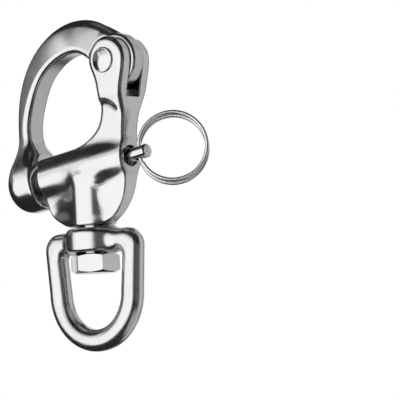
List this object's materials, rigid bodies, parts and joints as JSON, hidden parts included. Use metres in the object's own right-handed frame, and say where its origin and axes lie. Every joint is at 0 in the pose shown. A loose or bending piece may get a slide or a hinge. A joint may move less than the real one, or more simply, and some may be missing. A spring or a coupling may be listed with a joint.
{
  "type": "snap shackle",
  "caption": "Swivel-eye snap shackle: hinged bow gate locked by a spring plunger with a split pull ring.",
  "frame": {"origin": "on the swivel axis, at the inner face of the swivel eye's bow, where a line or shackle bears", "axes": "+Z along the load line from the eye to the gate's bow, +X across the jaw towards the gate hinge and the pull ring, -Y out of the front of the body"},
  "size_m": [0.0577, 0.0188, 0.0863],
  "materials": {
    "polished_forging": "hand-polished stainless forging",
    "polished_casting": "tumbled and polished stainless investment casting, satin on the machined edges",
    "bolt_steel": "turned stainless steel",
    "turned_steel": "turned stainless steel",
    "spring_wire": "drawn stainless spring wire",
    "ring_wire": "bright drawn stainless wire"
  },
  "bodies": {
    "eye": {"swivel_eye": "polished_forging"},
    "shackle": {"body": "polished_casting", "swivel_bolt": "bolt_steel", "hinge_pin": "bolt_steel", "plunger_spring": "spring_wire"},
    "gate": {"gate": "polished_casting"},
    "plunger": {"plunger": "turned_steel"},
    "ring": {"pull_ring": "ring_wire"}
  },
  "joints": [
    {"name": "swivel", "type": "hinge", "parent": "eye", "child": "shackle", "pos_m": [0, 0, 0], "axis": [0, 0, 1], "continuous": true},
    {"name": "gate_hinge", "type": "hinge", "parent": "shackle", "child": "gate", "pos_m": [0.0112, 0, 0.068], "axis": [0, 1, 0], "range_deg": [0, 100]},
    {"name": "plunger_pull", "type": "slide", "parent": "shackle", "child": "plunger", "axis": [0.991, 0, 0.134], "range_m": [-0.0015, 0.0025], "stiffness_N_per_m": 500, "springref_m": -0.008, "deforming": ["plunger_spring"]},
    {"name": "ring_swing", "type": "hinge", "parent": "plunger", "child": "ring", "pos_m": [0.01691, 0, 0.04387], "axis": [-0.134, 0, 0.991], "range_deg": [-103, 27]}
  ]
}
